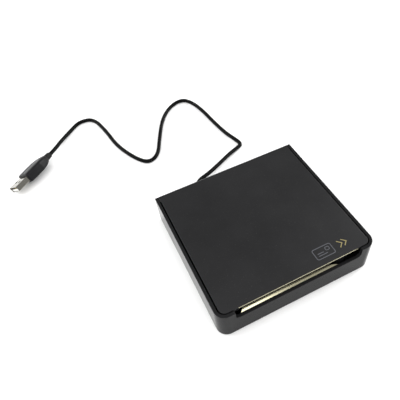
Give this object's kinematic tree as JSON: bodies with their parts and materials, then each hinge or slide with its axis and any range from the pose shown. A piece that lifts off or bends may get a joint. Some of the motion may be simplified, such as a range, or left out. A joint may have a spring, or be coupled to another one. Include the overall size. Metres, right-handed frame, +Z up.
{
  "type": "sheet-fed card scanner",
  "caption": "Flat square desktop scanner for business cards with a front card mouth, hinged top cover, powered feed rollers and a captive USB cord.",
  "frame": {"origin": "bottom centre of the scanner's body, on the plane its rubber feet stand on", "axes": "+X to the right along the card mouth, +Y to the rear where the cord leaves, +Z up"},
  "size_m": [0.2068, 0.2466, 0.0246],
  "materials": {
    "housing": "gloss",
    "cover": "matte",
    "gold": "polished",
    "rubber": "matte",
    "cord": "satin",
    "tyre": "matte",
    "steel": "satin",
    "frame_plastic": "satin",
    "gear_plastic": "satin",
    "brass": "satin",
    "pinch": "satin",
    "glass": "polished",
    "board": "satin",
    "white": "matte",
    "plug_metal": "polished",
    "plug_gold": "polished",
    "plug_plastic": "satin"
  },
  "bodies": {
    "base": {"base_housing": "housing", "board_connectors": "frame_plastic", "board_screws": "steel", "bracket_screws": "steel", "capacitors": "steel", "card_ramp": "gold", "chassis": "frame_plastic", "cis_board": "board", "cis_flat_cable": "white", "cis_glass": "glass", "cis_housing": "frame_plastic", "cis_lens_bar": "glass", "cis_light_guide": "glass", "controller_chip": "frame_plastic", "cord_grommet": "rubber", "crystal_can": "steel", "gear_pins": "steel", "gear_rings": "steel", "hinge_pins": "steel", "housing_screws": "steel", "inner_lead": "cord", "lever_pin": "steel", "lever_spring": "steel", "main_board": "board", "motor_body": "steel", "motor_bracket": "steel", "motor_lead": "cord", "motor_screws": "steel", "photo_interrupter": "frame_plastic", "plug_boot": "rubber", "plug_contacts": "plug_gold", "plug_overmould": "plug_plastic", "plug_shell": "plug_metal", "plug_tongue": "white", "roller_bushes": "frame_plastic", "rubber_feet": "rubber", "small_chips": "frame_plastic", "usb_cord": "cord"},
    "cover": {"top_cover": "cover", "cover_edge_trim": "gold", "upper_guide": "frame_plastic", "guide_screws": "steel", "white_reference_strip": "white", "pinch_springs": "steel"},
    "front_roller": {"front_roller_shaft": "steel", "front_roller_tyres": "tyre", "front_roller_gear": "gear_plastic"},
    "rear_roller": {"rear_roller_shaft": "steel", "rear_roller_tyres": "tyre", "rear_roller_gear": "gear_plastic"},
    "idler": {"idler_gear": "gear_plastic"},
    "compound": {"compound_gear": "gear_plastic"},
    "pinion": {"motor_pinion": "brass"},
    "front_pinch": {"front_pinch_roller": "pinch"},
    "rear_pinch": {"rear_pinch_roller": "pinch"},
    "lever": {"sensor_lever": "frame_plastic"}
  },
  "joints": [
    {"name": "cover_hinge", "type": "hinge", "parent": "base", "child": "cover", "pos_m": [0, 0.04935, 0.0216], "axis": [-1, 0, 0], "range_deg": [0, 70]},
    {"name": "front_feed_spin", "type": "hinge", "parent": "base", "child": "front_roller", "pos_m": [0, -0.036, 0.0144], "axis": [1, 0, 0], "continuous": true},
    {"name": "rear_feed_spin", "type": "hinge", "parent": "base", "child": "rear_roller", "pos_m": [0, -0.0104, 0.0144], "axis": [1, 0, 0], "continuous": true},
    {"name": "idler_spin", "type": "hinge", "parent": "base", "child": "idler", "pos_m": [0, -0.0232, 0.01213], "axis": [1, 0, 0], "continuous": true},
    {"name": "compound_spin", "type": "hinge", "parent": "base", "child": "compound", "pos_m": [0, -0.00162, 0.0124], "axis": [1, 0, 0], "continuous": true},
    {"name": "pinion_spin", "type": "hinge", "parent": "base", "child": "pinion", "pos_m": [0, 0.00878, 0.011], "axis": [1, 0, 0], "continuous": true},
    {"name": "front_pinch_spin", "type": "hinge", "parent": "cover", "child": "front_pinch", "pos_m": [0, -0.036, 0.02112], "axis": [1, 0, 0], "continuous": true},
    {"name": "rear_pinch_spin", "type": "hinge", "parent": "cover", "child": "rear_pinch", "pos_m": [0, -0.0104, 0.02112], "axis": [1, 0, 0], "continuous": true},
    {"name": "sensor_lever_swing", "type": "hinge", "parent": "base", "child": "lever", "pos_m": [0.015, -0.042, 0.013], "axis": [-1, 0, 0], "range_deg": [0, 35], "stiffness_Nm_per_rad": 0.0004}
  ],
  "couplings": [
    {"joint": "rear_feed_spin", "follows": "front_feed_spin", "ratio": 1},
    {"joint": "idler_spin", "follows": "front_feed_spin", "ratio": -0.85714},
    {"joint": "compound_spin", "follows": "front_feed_spin", "ratio": -2},
    {"joint": "pinion_spin", "follows": "front_feed_spin", "ratio": 5},
    {"joint": "front_pinch_spin", "follows": "front_feed_spin", "ratio": -3.125},
    {"joint": "rear_pinch_spin", "follows": "front_feed_spin", "ratio": -3.125}
  ]
}
